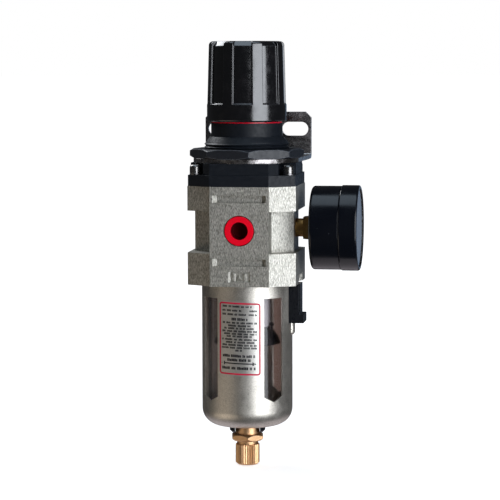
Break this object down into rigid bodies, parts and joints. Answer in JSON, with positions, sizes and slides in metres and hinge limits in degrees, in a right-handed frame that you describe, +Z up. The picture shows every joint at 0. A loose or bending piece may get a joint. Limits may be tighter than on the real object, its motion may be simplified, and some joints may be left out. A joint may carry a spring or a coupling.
{
  "type": "pneumatic filter regulator",
  "caption": "Compressed-air filter regulator with turning pressure knob, side gauge, guarded clear bowl with manual drain, and a slotted steel wall bracket.",
  "frame": {"origin": "midway between the bracket's two slots, on the bracket face that meets the wall", "axes": "+Z up along the vertical axis of knob and bowl, +Y into the wall and towards the outlet port, +X towards the gauge; the inlet port faces -Y"},
  "size_m": [0.0839, 0.0688, 0.2098],
  "materials": {
    "body": "fine grainy champagne silver paint",
    "bonnet": "semi-matt moulded",
    "bonnet_screws": "plated",
    "bonnet_lock_washers": "plated",
    "panel_nut": "satin moulded",
    "mounting_bracket": "bright plated",
    "knob_lock_ring": "gloss",
    "thrust_washer": "natural",
    "regulating_spring": "wound wire",
    "diaphragm": "smooth",
    "valve_holder": "moulded",
    "valve_spring": "wound wire",
    "element_gasket": "smooth",
    "swirl_louver": "moulded",
    "filter_element": "sintered",
    "element_rod": "turned",
    "baffle": "moulded",
    "rear_plug": "turned",
    "rear_plug_seal": "smooth",
    "gauge_socket": "machined",
    "gauge_case": "black enamel",
    "gauge_bezel": "gloss",
    "gauge_lens": "clear",
    "gauge_dial": "printed enamel",
    "gauge_bourdon_tube": "drawn",
    "gauge_movement": "stamped",
    "adjusting_screw": "turned",
    "adjusting_knob": "gloss",
    "spring_nut": "die cast",
    "valve_stem": "turned",
    "valve_poppet": "smooth",
    "diaphragm_plate": "turned",
    "inlet_plug": "soft plastic",
    "gauge_sector": "stamped",
    "gauge_arbor": "turned",
    "gauge_pointer": "black enamel",
    "bowl_seal": "smooth",
    "bowl": "clear polycarbonate",
    "bowl_guard": "fine silver paint",
    "bowl_label": "printed film",
    "lock_spring": "wound wire",
    "drain_collar": "moulded",
    "drain_nut": "machined",
    "drain_body": "machined",
    "lock_button": "satin moulded",
    "drain_pin": "turned",
    "drain_seal": "smooth",
    "drain_knob": "knurled"
  },
  "bodies": {
    "head": {"body": "body", "bonnet": "bonnet", "bonnet_screws": "bonnet_screws", "bonnet_lock_washers": "bonnet_lock_washers", "panel_nut": "panel_nut", "mounting_bracket": "mounting_bracket", "knob_lock_ring": "knob_lock_ring", "thrust_washer": "thrust_washer", "regulating_spring": "regulating_spring", "diaphragm": "diaphragm", "valve_holder": "valve_holder", "valve_spring": "valve_spring", "element_gasket": "element_gasket", "swirl_louver": "swirl_louver", "filter_element": "filter_element", "element_rod": "element_rod", "baffle": "baffle", "rear_plug": "rear_plug", "rear_plug_seal": "rear_plug_seal", "gauge_socket": "gauge_socket", "gauge_case": "gauge_case", "gauge_bezel": "gauge_bezel", "gauge_lens": "gauge_lens", "gauge_dial": "gauge_dial", "gauge_bourdon_tube": "gauge_bourdon_tube", "gauge_movement": "gauge_movement"},
    "adjusting_screw": {"adjusting_screw": "adjusting_screw"},
    "knob": {"adjusting_knob": "adjusting_knob"},
    "spring_nut": {"spring_nut": "spring_nut"},
    "valve": {"valve_stem": "valve_stem", "valve_poppet": "valve_poppet", "diaphragm_plate": "diaphragm_plate"},
    "inlet_plug": {"inlet_plug": "inlet_plug"},
    "gauge_sector": {"gauge_sector": "gauge_sector"},
    "gauge_pointer": {"gauge_arbor": "gauge_arbor", "gauge_pointer": "gauge_pointer"},
    "bowl_seal": {"bowl_seal": "bowl_seal"},
    "bowl": {"bowl": "bowl", "bowl_guard": "bowl_guard", "bowl_label": "bowl_label", "lock_spring": "lock_spring", "drain_collar": "drain_collar", "drain_nut": "drain_nut", "drain_body": "drain_body"},
    "lock_button": {"lock_button": "lock_button"},
    "drain_pin": {"drain_pin": "drain_pin", "drain_seal": "drain_seal"},
    "drain_knob": {"drain_knob": "drain_knob"}
  },
  "joints": [
    {"name": "knob_turn", "type": "hinge", "parent": "head", "child": "adjusting_screw", "pos_m": [0, -0.041, 0.0227], "axis": [0, 0, 1], "range_deg": [-1080, 1080]},
    {"name": "knob_pull", "type": "slide", "parent": "adjusting_screw", "child": "knob", "axis": [0, 0, 1], "range_m": [0, 0.003]},
    {"name": "nut_travel", "type": "slide", "parent": "head", "child": "spring_nut", "axis": [0, 0, 1], "range_m": [-0.0046, 0.0046], "deforming": ["regulating_spring"]},
    {"name": "valve_open", "type": "slide", "parent": "head", "child": "valve", "axis": [0, 0, -1], "range_m": [0, 0.0008], "stiffness_N_per_m": 1000, "springref_m": -0.003, "deforming": ["valve_spring", "diaphragm"]},
    {"name": "plug_pull", "type": "slide", "parent": "head", "child": "inlet_plug", "axis": [0, -1, 0], "range_m": [0, 0.02]},
    {"name": "gauge_sector_turn", "type": "hinge", "parent": "head", "child": "gauge_sector", "pos_m": [0.0419, -0.041, -0.0361], "axis": [1, 0, 0], "range_deg": [0, 45], "stiffness_Nm_per_rad": 0.0005, "springref_deg": -17.19},
    {"name": "gauge_pointer_turn", "type": "hinge", "parent": "head", "child": "gauge_pointer", "pos_m": [0.05, -0.041, -0.0473], "axis": [-1, 0, 0], "range_deg": [0, 271]},
    {"name": "bowl_turn", "type": "hinge", "parent": "head", "child": "bowl_seal", "pos_m": [0, -0.041, -0.0639], "axis": [0, 0, 1], "range_deg": [0, 45]},
    {"name": "bowl_drop", "type": "slide", "parent": "bowl_seal", "child": "bowl", "axis": [0, 0, -1], "range_m": [0, 0.085]},
    {"name": "lock_press", "type": "slide", "parent": "bowl", "child": "lock_button", "axis": [0, 0, -1], "range_m": [0, 0.004], "stiffness_N_per_m": 300, "springref_m": -0.004, "deforming": ["lock_spring"]},
    {"name": "drain_turn", "type": "hinge", "parent": "bowl", "child": "drain_knob", "pos_m": [0, -0.041, -0.1603], "axis": [0, 0, 1], "range_deg": [0, 180]},
    {"name": "drain_lift", "type": "slide", "parent": "bowl", "child": "drain_pin", "axis": [0, 0, 1], "range_m": [0, 0.00085]}
  ],
  "couplings": [
    {"joint": "nut_travel", "follows": "knob_turn", "m_per_rad": 0.00023873},
    {"joint": "gauge_pointer_turn", "follows": "gauge_sector_turn", "ratio": 6},
    {"joint": "drain_lift", "follows": "drain_turn", "m_per_rad": 0.00025465}
  ]
}
